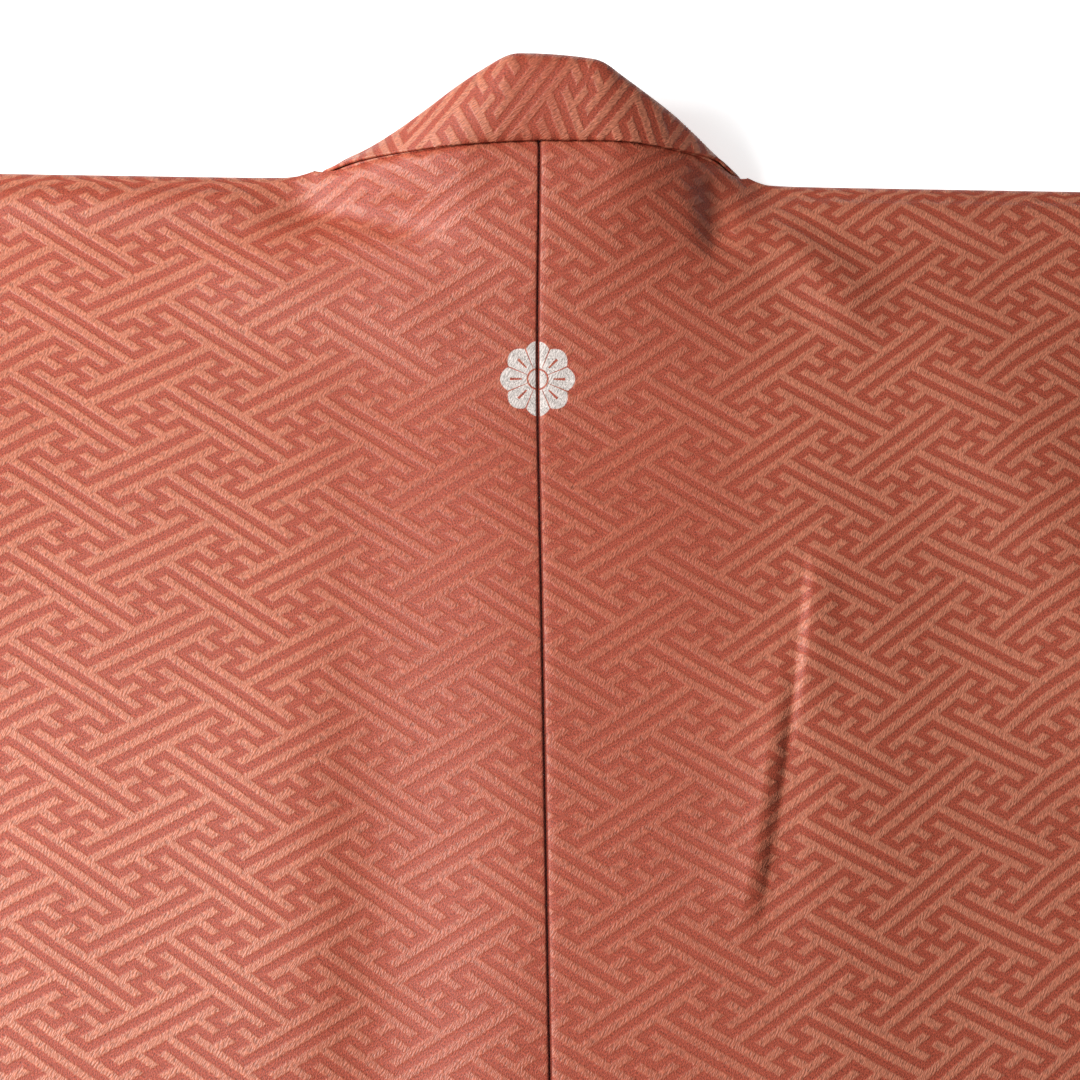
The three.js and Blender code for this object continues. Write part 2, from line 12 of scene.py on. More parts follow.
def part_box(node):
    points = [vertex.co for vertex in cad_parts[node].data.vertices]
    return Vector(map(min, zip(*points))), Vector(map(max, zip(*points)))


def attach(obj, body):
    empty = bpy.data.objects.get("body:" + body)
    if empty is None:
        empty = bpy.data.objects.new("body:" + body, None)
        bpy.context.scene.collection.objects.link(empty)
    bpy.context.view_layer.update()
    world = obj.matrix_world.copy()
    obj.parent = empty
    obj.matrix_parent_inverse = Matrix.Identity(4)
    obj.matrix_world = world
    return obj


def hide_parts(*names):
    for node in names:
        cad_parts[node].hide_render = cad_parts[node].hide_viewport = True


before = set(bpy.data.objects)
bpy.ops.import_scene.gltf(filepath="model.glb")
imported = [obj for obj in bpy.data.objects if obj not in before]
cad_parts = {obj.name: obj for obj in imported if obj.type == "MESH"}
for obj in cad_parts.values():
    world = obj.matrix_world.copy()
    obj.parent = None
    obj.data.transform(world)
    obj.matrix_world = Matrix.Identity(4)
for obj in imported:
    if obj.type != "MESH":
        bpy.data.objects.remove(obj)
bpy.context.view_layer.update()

MM = 0.001

# Cut of the garment
LENGTH = 1600
SHOULDER = 310
BACK_HALF = 295
FRONT_WIDTH = 240
OVERLAP_WIDTH = 150
OVERLAP_TOP = 232
COLLAR_END = 800
COLLAR_END_X = 75
NECK = 62
COLLAR_WIDTH = 55
COLLAR_END_WIDTH = 75
COVER_LENGTH = 430
ARMHOLE = 230
UNDERARM = 380
SLEEVE_WIDTH = 330
SLEEVE_DROP = 490
CUFF = 230
SLEEVE_CORNER = 22
SEAM = 0.3
SEAM_BOW = 9
COLLAR_SET = 0.6
UNDER_COLLAR = 1.2
LAY = 0.4
COVER_CLOTH = 1.0

# Walls as they show
BODY_WALL = 0.8
COLLAR_WALL = 1.2
COVER_WALL = 0.9

# Heights as laid
FOLD = 5.6
BODY_LIFT = 5.0
SIDE_LIFT = 2.4
SHELF = 2.5
BAND_LIFT = 2.5
UPPER_LIFT = 3.6
HEM_LIFT = 1.3
NECK_LIFT = 22.4
NECK_CROWN = 20
NECK_FLANK = 45
NECK_FALL = 1.5
NECK_FADE = 0.18
SEWN_SLEEVE = 3.4
HEM_ROUND = 1.2

# The collar seam at the back of the neck
NECK_SEAM_Y = 2.2
NECK_SEAM_BOW = 0.7
NECK_SEAM_BOW_X = 40
NECK_SEAM_DROP = 2
NECK_SEAM_DROP_X = 48
LEFT_SEAM_DROP = 3
LEFT_SEAM_DROP_FROM = (-4, 38)
LEFT_SEAM_DROP_TO = 50

# How far down the back each of these begins and is whole
LAP_TOP = (150, 248)
LAP_COLLAR_END = (830, 930)
BAND_LOW = (30, 150)
CROSS_LOW = (840, 960)
NECK_HUMP = (-6, 105)
UNDER_NECK = (0, 30)
SHOULDER_FOLD = (0, 60)

# How far across each of these begins and is whole
LAP_SIDE = (152, 190)
LAP_SIDE_LOW = (98, 135)
CROSS_SIDE = (155, 205)
SLEEVE_SIDE = (200, 300)
NECK_ROLL = (62, 90)
NECK_RIM = (44, 84)

# Where the collar's band crosses under the back, at the neck and at its end, and how softly
CROSS_LEFT = (5, -150)
CROSS_RIGHT = (NECK, -70)
CROSS_NEAR = 8
CROSS_FAR = 60

# The hump that the collar lifts below the neck, and the roll over the shoulders
HUMP_X = 4
HUMP_WIDE = 60
HUMP_FALL = 2.4
ROLL = 1.6
ROLL_Y = -9
ROLL_WIDE = 6

# Folds stop short of the edges.
RIM_NECK = 18
RIM = (2, 26)
RIM_HEM = 30

# Sewn edges: how deep the cloth sinks and how far from the seam, in mm
CENTRE_LEFT = (0.5, 0.4)
CENTRE_RIGHT = (0.8, 0.9)
SLEEVE_SEAM = (0.9, 1.2)
COLLAR_SEAM_DEPTH = 0.5
COLLAR_SEAM_REACH = 1.1
STITCH = 4.8
STITCH_PULL = 0.3
STITCH_SHARP = 6
STITCHES_FADE = (12, 28)

# How far a raw edge is turned down into its seam
TUCK = 1

# The neck's edge: how far it stays off the collar seam in the middle and at the side, and how
# far it is tucked up and down under the collar
NECK_EDGE = (0.1, 0.7)
NECK_EDGE_SIDE = (46, 60)
NECK_TUCK_UP = (2.4, 0.6)
NECK_TUCK_DOWN = (1.9, 1.4)
NECK_TUCK_SIDE = (34, 56)

# The shoulder's fold: where it starts, how it is tighter and drawn up beside the neck, and how
# far its last row lies off the turn
FOLD_START = -3.2
FOLD_TIGHT = 0.35
FOLD_TIGHT_TO = 82
FOLD_DRAWN_UP = 1.5
FOLD_DRAWN = (60, 70)
FOLD_LAST = 0.1

# The flat cloth's own length over the shoulder's fold: from row to row, at its last row, and at
# the top of the front
TURN_STEP = 0.9
TURN_END = 7
FRONT_START = 5

# The hem lies at the solids' lower end, so the shoulder fold is a whole length above it.
SHIFT_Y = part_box("body_left")[0][1] / MM + LENGTH

# Soft ridges (rise > 0) and troughs (rise < 0) of the back, each along a line from x0, y0 to
# x1, y1, and wide_l and wide_r broad on either side of it.
FOLD_KEYS = ("x0", "y0", "x1", "y1", "rise", "wide_l", "wide_r")
BACK_FOLDS = [
    (85, -110, 70, -222, 0.8, 9, 30),
    (-70, -130, -62, -330, 2.0, 26, 18),
    (-44, -170, -40, -360, -0.8, 12, 20),
    (-84, -7, -26, -19, -3.2, 6, 7),
    (-96, -30, -20, -44, 1.6, 12, 14),
    (51, 3, 52, -26, -2.8, 5, 7),
    (66, -8, 96, -46, 2.0, 9, 10),
    (120, -40, 190, -200, 2.4, 22, 26),
    (-150, -60, -215, -230, 2.8, 24, 24),
    (-180, -420, -150, -900, 4.0, 30, 22),
    (150, -380, 185, -860, 4.2, 22, 32),
    (60, -640, 44, -1180, 3.6, 26, 20),
    (-90, -900, -118, -1520, 3.8, 22, 30),
    (200, -1040, 176, -1570, 3.4, 30, 22),
    (-222, -1120, -205, -1480, 3.0, 20, 20),
    (105, -1240, 96, -1580, 2.6, 18, 24),
]
SLEEVE_FOLDS = [
    (40, -60, 92, -420, 3.2, 22, 30),
    (150, -30, 182, -300, 2.6, 26, 20),
    (250, -120, 236, -450, 3.0, 20, 28),
    (20, -24, 140, -70, 1.8, 12, 14),
]

# The half collar from the centre back to the side of the neck: the seam's distance from the
# centre, the crest where the band rolls over, and the band's inner edge.
BAND_KEYS = ("seam", "crest_x", "crest_y", "crest_z", "end_x", "end_y", "end_z")
COLLAR_BACK = [
    (0, 0, 23.1, 36.3, 0, 19, 13),
    (9, 7, 23, 36.2, 7, 18, 12.5),
    (17, 12.5, 22.7, 35.8, 11, 12, 11.5),
    (25, 18.2, 20.5, 33.1, 13.5, 5, 9.5),
    (33, 26.5, 16.2, 29.1, 14.5, -4, 7.5),
    (40, 34, 12.3, 24.5, 13, -12, 5.5),
    (46.5, 42, 7.8, 19.8, 11.5, -17, 4.5),
    (52.5, 49.5, 4.3, 14.3, 10.5, -20, 4),
    (57.5, 56, 1.5, 9.4, 9.5, -22.5, 3.8),
    (61, 60.4, -1.2, 5, 9, -24, 3.5),
]
BAND_STEPS = 100
BAND_STEPS_BETWEEN = 9

# The crest leans to the right, is a little lower in the middle and falls to the right there.
CREST_SKEW = 4.5
CREST_SKEW_FROM = {-1: 46, 1: 24}
CREST_SKEW_TO = 62
CREST_DROP = 0.8
CREST_DROP_FADE = (18, 50)
CREST_TILT = 0.06
CREST_TILT_FADE = (18, 40)

# The band below the neck: how it leans, turns and settles, how it dives under the shoulder
# beside the neck, and its turn over the crest
BAND_LEAN = 24
BAND_LEAN_END = 75
BAND_TURN = 0.12
BAND_AT_NECK = (7, 6, 3)
BAND_SETTLED = (6, 6, 9)
DIVE = (53, 61)
DIVE_Y = 1.2
DIVE_Z = 2.4
CREST_LOW = 8
CREST_MOST = 22
CREST_UPRIGHT = (24, 40)
BULGE = Vector((0, -0.04, 0.05))

# The sharp crease right of the centre, from its top to its foot
CREASE_TOP = (74.4, -114)
CREASE_FOOT = (57.8, -210)
CREASE_BOW = 1.2
CREASE_RIDGE = 1.3
CREASE_FALL = 2.3
CREASE_SLOPE = 5.6
CREASE_STEP = 2.2
CREASE_RIGHT = 7
CREASE_LEFT = 11

# The woven figure: a key fret of strokes one cell wide
CELL_ACROSS = 2.03
CELL_ALONG = 1.26
REPEAT = 10

# How the cloth's own lines stray from straight where it lies, in mm: a level, then what x, x*x,
# y and x*y add, with x from the centre seam and y from STRAY_Y below the fold, in hundreds of mm.
STRAY_KEYS = ("level", "x", "xx", "y", "xy")
STRAY_ACROSS = {-1: (-0.3, 1.8, -2.4, 0.8, -3.2), 1: (0.2, -0.6, -1.8, 1.4, -1.3)}
STRAY_ALONG = {-1: (-1.1, 2.8, 3.1, 1.2, -1.7), 1: (-0.2, -2.6, 5.6, 0, -0.1)}
STRAY_Y = 120
STRAY_MOST_X = 1.4
STRAY_LOW_Y = -1.3
STRAY_HIGH_Y = 1.1

# Painted sheen: where the figure is painted fainter, standing in for the light that evens figure and
# ground there, as figured_silk says
BODY_PAINTED_SHEEN = (0, 0, 35, 85)
COLLAR_PAINTED_SHEEN = (1, -4, 3, 15)

# The dyed round mark, and how far up the back its middle lies
MARK_RADIUS = 10.6
MARK_PETALS = 8
MARK_Y = -61.5

# Colours of the silk
UNDYED = (0.62, 0.55, 0.51, 1)
GROUND = (0.375, 0.066, 0.033, 1)
FIGURE = (0.515, 0.165, 0.094, 1)
# Painted shade: the dark colour put into the centre seam's groove, where shade falls
SEAM_PAINTED_SHADE_COLOUR = (0.17, 0.022, 0.010, 1)

# Painted shade in the centre seam's groove: whole and gone this far from the centre, on cloth that lies
# above a height.
SEAM_PAINTED_SHADE_REACH = (0.42, 0.8)
SEAM_PAINTED_SHADE_ABOVE = 3

# Grains of the silk, long and wide in mm, and the lean of its twisted threads
TWIST_GRAIN = (1.3, 0.42)
CREPE_GRAIN = (0.55, 0.32)
BROAD_GRAIN = (60, 60)
TWIST_LEAN = math.radians(62)

# How far the fret's lines sway and how ragged its edges are, in mm and in strokes
SWAY_GRAIN = (22, 22)
SWAY = 0.6
RAGGED_GRAIN = (0.8, 0.8)
RAGGED = 0.4

# Camera, as the photograph was taken
CAMERA_LENS = 60
CAMERA_SENSOR = 36
CAMERA_DISTANCE = 500
CAMERA_LEAN_X = -5
CAMERA_LEAN_Y = -11.5
CAMERA_ROLL = 1
CAMERA_AIM = (0, -107.5, 8)


def clamp(value, low, high):
    return min(high, max(low, value))


def mix(start, end, share):
    return start + (end - start) * share


def smooth(low, high, value):
    share = clamp((value - low) / (high - low), 0, 1)
    return share * share * (3 - 2 * share)


def steps(start, end, count):
    return [mix(start, end, i / count) for i in range(count + 1)]


# Shapes of the garment


def fold_height(fold, x, y):
    f = dict(zip(FOLD_KEYS, fold))
    run_x = f["x1"] - f["x0"]
    run_y = f["y1"] - f["y0"]
    run = math.hypot(run_x, run_y)
    along = ((x - f["x0"]) * run_x + (y - f["y0"]) * run_y) / run**2
    across = ((y - f["y0"]) * run_x - (x - f["x0"]) * run_y) / run
    wide = f["wide_r"] if across > 0 else f["wide_l"]
    fade = smooth(-0.12, 0.28, along) * (1 - smooth(0.72, 1.12, along))
    return f["rise"] * fade * math.exp(-((across / wide) ** 2))


def fold_sum(folds, x, y):
    return sum(fold_height(fold, x, y) for fold in folds)


def crease_height(x, y):
    """At its top the cloth steps up to a narrow ridge, and towards its foot it falls more and more
    steeply from the left and stops short."""
    down = (CREASE_TOP[1] - y) / (CREASE_TOP[1] - CREASE_FOOT[1])
    if not -0.1 < down < 1.15:
        return 0
    bow = CREASE_BOW * math.sin(math.pi * clamp(down, 0, 1))
    off = x - mix(CREASE_TOP[0], CREASE_FOOT[0], down) - bow
    ridge = CREASE_RIDGE * smooth(-0.06, 0.1, down) * (1 - smooth(0.3, 0.62, down))
    fall = CREASE_FALL * smooth(0.14, 0.6, down) * (1 - smooth(0.86, 1.1, down))
    step = smooth(-0.6, CREASE_STEP, off) * math.exp(-((max(0, off - CREASE_STEP) / CREASE_RIGHT) ** 2))
    if off < -CREASE_SLOPE:
        slope = math.exp((off + CREASE_SLOPE) / CREASE_LEFT)
    else:
        slope = 1 - min(1, 1 + off / CREASE_SLOPE) ** 2
    return ridge * step + fall * slope


def neck_rise(x):
    """The rise at the back of the neck as a share of its height, flat in the middle and fading
    out on the shoulders."""
    rest = 1 - (max(0, abs(x) - NECK_CROWN) / NECK_FLANK) ** NECK_FALL
    return (rest + math.hypot(rest, NECK_FADE)) / 2


def neck_seam_y(x, side):
    """The collar seam lies lower on the left flank."""
    bow = NECK_SEAM_BOW * math.sin(math.pi * x / (2 * NECK_SEAM_BOW_X)) ** 2
    y = NECK_SEAM_Y + bow - NECK_SEAM_DROP * smooth(NECK_SEAM_DROP_X, NECK, x)
    low = smooth(*LEFT_SEAM_DROP_FROM, x) * (1 - smooth(LEFT_SEAM_DROP_TO, NECK, x)) if side < 0 else 0
    return y - LEFT_SEAM_DROP * low


def neck_seam_z(x):
    return FOLD + NECK_LIFT * neck_rise(x)


def upper_lift(x, y):
    low = smooth(*LAP_COLLAR_END, -y)
    high = UPPER_LIFT * smooth(*LAP_TOP, -y) * (1 - low) * (1 - smooth(*LAP_SIDE, x))
    return high + HEM_LIFT * low * (1 - smooth(*LAP_SIDE_LOW, x))


def back_height(x, y):
    down = clamp((-y - OVERLAP_TOP) / (COLLAR_END - OVERLAP_TOP), 0, 1)
    upper = 1 - smooth(*CROSS_LOW, -y)
    band_left = mix(*CROSS_LEFT, down)
    band_right = mix(*CROSS_RIGHT, down)
    left_end = smooth(band_left - CROSS_FAR, band_left - CROSS_NEAR, x)
    right_end = 1 - smooth(band_right + CROSS_NEAR, band_right + CROSS_FAR, x)
    over_both = left_end * (1 - smooth(*CROSS_SIDE, x))
    over_band = left_end * right_end * smooth(*BAND_LOW, -y)
    z = BODY_LIFT + upper * (SHELF * over_both + BAND_LIFT * over_band)
    side = smooth(BACK_HALF - 60, BACK_HALF - 1, abs(x)) * smooth(ARMHOLE, UNDERARM, -y)
    z = mix(z, SIDE_LIFT, side)
    sleeve_side = smooth(*SLEEVE_SIDE, abs(x)) * (1 - smooth(ARMHOLE, UNDERARM, -y))
    z = mix(z, FOLD, max(sleeve_side, 1 - smooth(*SHOULDER_FOLD, -y)))
    rise = mix(neck_rise(x), math.exp(-(((x - HUMP_X) / HUMP_WIDE) ** 2)), smooth(*UNDER_NECK, -y))
    neck = NECK_LIFT * rise * (1 - smooth(*NECK_HUMP, -y)) ** HUMP_FALL
    roll = ROLL * math.exp(-(((y - ROLL_Y) / ROLL_WIDE) ** 2)) * smooth(*NECK_ROLL, abs(x))
    near_neck = RIM_NECK * (1 - smooth(*NECK_RIM, abs(x)))
    rim = smooth(*RIM, -y + near_neck) * (1 - smooth(LENGTH - RIM_HEM, LENGTH, -y) * 0.5)
    folds = fold_sum(BACK_FOLDS, x, y) + crease_height(x, y)
    return z + neck + roll + folds * rim * (1 - side)


def back_edge(y):
    return mix(SHOULDER, BACK_HALF, smooth(ARMHOLE, UNDERARM + 240, -y))


def front_edge(y):
    return mix(NECK + COLLAR_SET, BACK_HALF - FRONT_WIDTH, smooth(0, LENGTH, -y))


def front_seam_x(down):
    straight = front_edge(-down) - COLLAR_SET
    if down <= OVERLAP_TOP:
        return straight
    share = (down - OVERLAP_TOP) / (COLLAR_END - OVERLAP_TOP)
    top = front_edge(-OVERLAP_TOP) - COLLAR_SET
    return top - (top + COLLAR_END_X) * share + SEAM_BOW * math.sin(math.pi * clamp(share, 0, 1))


# Cloth pieces


def cloth_grid(name, columns, rows, place, keep=lambda i, j: True, side=1, merge=False):
    """A cloth piece from a grid of columns and rows. place gives a point in mm and its place on
    the flat cloth (across, along), and keep says which cells belong to the cut."""
    bm = bmesh.new()
    bmesh.ops.create_grid(bm, x_segments=len(columns) - 1, y_segments=len(rows) - 1, size=0.5)
    flat = bm.loops.layers.uv.new("cloth")
    spots = {}
    cells = {}
    for vert in bm.verts:
        i = round((vert.co.x + 0.5) * (len(columns) - 1))
        j = round((vert.co.y + 0.5) * (len(rows) - 1))
        point, spots[vert] = place(i, j)
        cells[vert] = (i, j)
        vert.co = Vector((side * point[0], point[1] + SHIFT_Y, point[2])) * MM
    unwanted = []
    for face in bm.faces:
        i = min(cells[vert][0] for vert in face.verts)
        j = min(cells[vert][1] for vert in face.verts)
        if not keep(i, j):
            unwanted.append(face)
        for loop in face.loops:
            across, along = spots[loop.vert]
            loop[flat].uv = (side * across * MM, along * MM)
    bmesh.ops.delete(bm, geom=unwanted, context="FACES")
    if merge:
        bmesh.ops.remove_doubles(bm, verts=bm.verts, dist=0.01 * MM)
    if side < 0:
        bmesh.ops.reverse_faces(bm, faces=bm.faces)
    mesh = bpy.data.meshes.new(name)
    bm.to_mesh(mesh)
    bm.free()
    mesh.shade_smooth()
    piece = bpy.data.objects.new(name, mesh)
    bpy.context.scene.collection.objects.link(piece)
    return piece


def give_wall(piece, thickness):
    wall = piece.modifiers.new("wall", "SOLIDIFY")
    wall.thickness = thickness * MM
    wall.offset = -1
    return piece


def fold_turn(count):
    """The soft turn between a face that lies above and one that lies below, as y from the fold's
    outermost line and the height as a share of the fold's."""
    points = []
    for angle in steps(90, -90, count)[1:-1]:
        a = math.radians(angle)
        points.append((FOLD_START * (1 - math.cos(a)), (1 + math.sin(a)) / 2))
    return points


TURN = fold_turn(8)


def fold_y(x, y):
    """The shoulder's fold is tighter beside the neck, and drawn up towards the collar."""
    tight = mix(FOLD_TIGHT, 1, smooth(NECK, FOLD_TIGHT_TO, x))
    return y * tight + FOLD_DRAWN_UP * (1 - smooth(*FOLD_DRAWN, x))


def sewn_dip(distance, depth, reach):
    return -depth * math.exp(-distance / reach)


def stray(row, across, along):
    k = dict(zip(STRAY_KEYS, row))
    x = min(across / 100, STRAY_MOST_X)
    y = clamp((along + STRAY_Y) / 100, STRAY_LOW_Y, STRAY_HIGH_Y)
    return k["level"] + k["x"] * x + k["xx"] * x * x + k["y"] * y + k["xy"] * x * y


def centre_dip(side, distance):
    """The left length's edge is folded over the seam, and the right one's lies lower."""
    return sewn_dip(distance, *(CENTRE_LEFT if side < 0 else CENTRE_RIGHT))


def stitch_dip(distance, run):
    """The cloth sinks to the collar seam, a little more at each stitch."""
    pull = abs(math.cos(math.pi * run / STITCH)) ** STITCH_SHARP
    return sewn_dip(distance, COLLAR_SEAM_DEPTH + STITCH_PULL * pull, COLLAR_SEAM_REACH)


def body_length(side):
    """The back, over the shoulder, and down the front, on one side (-1 left, 1 right)."""
    columns = [0.01, SEAM / 2, 0.5, 0.9, 1.4, 2.1, 3.2, 5]
    if side > 0:
        columns += steps(6.5, 50, 28) + steps(50.6, NECK - 1.2, 17) + [NECK + 0.8]
    else:
        columns += steps(6.5, NECK - 1.2, 40) + [NECK + 0.8]
    first_front = len(columns) - 1
    columns += steps(63.4, 83, 32) + steps(84.6, 170, 30) if side > 0 else steps(65, 170, 36)
    columns += steps(176, 302, 16) + [306, 308.2, 309.3, SHOULDER]
    back_rows = steps(-LENGTH, -352, 80) + steps(-348, -42, 90) + steps(-40, -8, 24)
    near = [0.16, 0.32, 0.46, 0.58, 0.69, 0.78, 0.85, 0.91, 0.96, 1.0, "tucked"]
    front_rows = steps(-8, -LENGTH, 80)
    first_turn = len(back_rows) + len(near)
    first_down = first_turn + len(TURN)
    rows = list(range(first_down + 1 + len(front_rows)))

    def narrowed(x, y):
        share = clamp((x - NECK) / (SHOULDER - NECK), 0, 1)
        return x - share * (SHOULDER - back_edge(y))

    def on_back(i, y):
        x = narrowed(columns[i], y)
        z = back_height(side * x, y) + centre_dip(side, x)
        if y > -ARMHOLE:
            z += sewn_dip(SHOULDER - x, *SLEEVE_SEAM)
        return (x, y, z - (TUCK if i == 0 else 0)), (columns[i], y)

    def near_fold(x, share, tucked):
        y = mix(back_rows[-1], fold_y(x, FOLD_START), share) + (FOLD_LAST if tucked else 0)
        z = mix(back_height(side * x, y), neck_seam_z(x), smooth(0.3, 1, share))
        return (x, y, z), (x, y)

    def near_collar(i, share, tucked):
        x = columns[i]
        away = mix(*NECK_EDGE, smooth(*NECK_EDGE_SIDE, x))
        last = neck_seam_y(x, side) - away
        y = mix(back_rows[-1], last, share)
        top = neck_seam_z(x) - 0.25 * away
        rise = mix(back_height(side * x, y), top, smooth(0.2, 1, share))
        z = rise + centre_dip(side, x) + stitch_dip(last - y, x)
        if tucked:
            y += mix(*NECK_TUCK_UP, smooth(*NECK_TUCK_SIDE, x))
            z -= mix(*NECK_TUCK_DOWN, smooth(*NECK_TUCK_SIDE, x))
        return (x, y, z - (TUCK if i == 0 else 0)), (x, y)

    def place(i, j):
        x = columns[i]
        if j < len(back_rows):
            return on_back(i, back_rows[j])
        if j < first_turn:
            share = near[j - len(back_rows)]
            tucked = share == "tucked"
            share = 1 if tucked else share
            return near_fold(x, share, tucked) if i >= first_front else near_collar(i, share, tucked)
        if j < first_down:
            y, share = TURN[j - first_turn]
            return (x, fold_y(x, y), share * neck_seam_z(x)), (x, TURN_STEP * (j - first_turn))
        if j == first_down:
            return (x, fold_y(x, FOLD_START), 0), (x, TURN_END)
        y = front_rows[j - first_down - 1]
        share = (x - columns[first_front]) / (SHOULDER - columns[first_front])
        front_x = mix(front_edge(y), back_edge(y), share)
        z = upper_lift(front_x, y) if side > 0 else 0
        return (front_x, y, z), (front_x, FRONT_START - y)

    def place_askew(i, j):
        point, (across, along) = place(i, j)
        over = side * stray(STRAY_ACROSS[side], across, along)
        up = stray(STRAY_ALONG[side], across, along)
        return point, (across - over, along - up)

    def keep(i, j):
        return i >= first_front or j < first_turn - 1

    name = "left_body_length" if side < 0 else "right_body_length"
    piece = cloth_grid(name, columns, rows, place_askew, keep, side)
    return give_wall(piece, BODY_WALL)


def overlap_panel(side):
    rows = steps(-LENGTH, -COLLAR_END - 46, 60) + steps(-COLLAR_END - 6, -OVERLAP_TOP - 10, 56)
    across = steps(0, 1, 14)

    def place(i, j):
        y = rows[j]
        inner = front_edge(y) - SEAM - (0.1 if -y < OVERLAP_TOP + 60 else 0)
        hem_x = BACK_HALF - FRONT_WIDTH - OVERLAP_WIDTH
        straight = mix(-COLLAR_END_X, hem_x, (-y - COLLAR_END) / (LENGTH - COLLAR_END))
        edge = straight if -y > COLLAR_END else front_seam_x(-y) + UNDER_COLLAR
        x = mix(edge, inner, across[i])
        z = upper_lift(x, y) if side > 0 else 0
        return (x, y, z), (x, y)

    name = "left_overlap_panel" if side < 0 else "right_overlap_panel"
    piece = cloth_grid(name, across, rows, place, side=side)
    flip(piece)
    return give_wall(piece, BODY_WALL)


def flip(piece):
    bm = bmesh.new()
    bm.from_mesh(piece.data)
    bmesh.ops.reverse_faces(bm, faces=bm.faces)
    bm.to_mesh(piece.data)
    bm.free()


def sleeve_outer_x(y):
    drop = clamp(-y - (SLEEVE_DROP - SLEEVE_CORNER), 0, SLEEVE_CORNER)
    return SLEEVE_WIDTH - SLEEVE_CORNER + math.sqrt(SLEEVE_CORNER**2 - drop**2)


def sleeve_height(x, y):
    corner = smooth(CUFF, CUFF + 70, -y) * smooth(270, 330, x)
    sewn = max(smooth(SLEEVE_DROP - 60, SLEEVE_DROP, -y), corner)
    loose = smooth(0, 40, -y) * (1 - sewn) * (1 - 0.6 * smooth(300, 330, x))
    inner = smooth(-4, 24, x + (14 if -y > ARMHOLE else 0))
    return mix(FOLD, SEWN_SLEEVE, sewn) + fold_sum(SLEEVE_FOLDS, x, y) * loose * inner


def sleeve(side):
    columns = [0, 0.6, 1.4, 2.8] + steps(5, SLEEVE_WIDTH, 44)
    last = len(columns) - 1
    columns.append("sewn edge")
    fall = [FOLD_START] + steps(-10, -SLEEVE_DROP + 24, 60)
    fall += [rest - SLEEVE_DROP for rest in (18, 13, 8.5, 4.5, 1.5, 0)]
    top = [("top", y, None) for y in reversed(fall)]
    turn = [("turn", y, share * FOLD) for y, share in TURN]
    under = [("under", y, 0) for y in fall]
    rows = [("hem", -SLEEVE_DROP, None)] + top + turn + under + [("hem", -SLEEVE_DROP, None)]

    def place(i, j):
        part, y, z = rows[j]
        on_edge = i > last
        x = columns[min(i, last)] * (sleeve_outer_x(y) / SLEEVE_WIDTH)
        if part == "top":
            z = sleeve_height(x, y) + (sewn_dip(x, *SLEEVE_SEAM) if y > -ARMHOLE else 0)
        middle = sleeve_height(x, y) / 2
        if part == "hem":
            y -= HEM_ROUND
            z = middle
        if on_edge and part != "turn":
            x += HEM_ROUND
            z = middle
        along = FRONT_START - y if part == "under" or j == len(rows) - 1 else y
        return (SHOULDER + SEAM + x, y, z), (SHOULDER + x, along)

    def keep(i, j):
        if i < last:
            return True
        return -rows[j][1] > CUFF - 3 and -rows[j + 1][1] > CUFF - 3

    name = "left_sleeve" if side < 0 else "right_sleeve"
    piece = cloth_grid(name, columns, rows, place, keep, side, merge=True)
    return give_wall(piece, BODY_WALL)


# The collar and its cover


def centripetal(points):
    """Points close together along a smooth curve through the given ones, 16 from each to the next."""
    padded = [points[0] * 2 - points[1]] + list(points) + [points[-1] * 2 - points[-2]]
    fine = []
    for k in range(len(points) - 1):
        p0, p1, p2, p3 = padded[k : k + 4]
        t0 = max((p1 - p0).length ** 0.5, 1e-4)
        t1 = max((p2 - p1).length ** 0.5, 1e-4)
        t2 = max((p3 - p2).length ** 0.5, 1e-4)
        start = (p1 - p0) / t0 - (p2 - p0) / (t0 + t1) + (p2 - p1) / t1
        end = (p2 - p1) / t1 - (p3 - p1) / (t1 + t2) + (p3 - p2) / t2
        piece = interpolate_bezier(p1, p1 + start * t1 / 3, p2 - end * t1 / 3, p2, 17)
        fine += piece if not fine else piece[1:]
    return fine


def line_lengths(line):
    """How far each point lies along the line."""
    lengths = [0.0]
    for a, b in zip(line, line[1:]):
        lengths.append(lengths[-1] + (b - a).length)
    return lengths


def evenly(line, count):
    """The line again as so many even steps."""
    lengths = line_lengths(line)
    even = []
    k = 0
    for target in steps(0, lengths[-1], count):
        while k < len(line) - 2 and lengths[k + 1] < target:
            k += 1
        share = clamp((target - lengths[k]) / (lengths[k + 1] - lengths[k]), 0, 1)
        even.append(line[k].lerp(line[k + 1], share))
    return even


def along_rows(rows, count):
    """Points on a smooth line through one point of each row, as many for each row's gap."""
    padded = [rows[0] * 2 - rows[1]] + list(rows) + [rows[-1] * 2 - rows[-2]]
    line = []
    for k in range(len(rows) - 1):
        p0, p1, p2, p3 = padded[k : k + 4]
        first = p1 + (p2 - p0) / 6
        second = p2 - (p3 - p1) / 6
        piece = interpolate_bezier(p1, first, second, p2, count + 1)
        line += piece if not line else piece[1:]
    return line


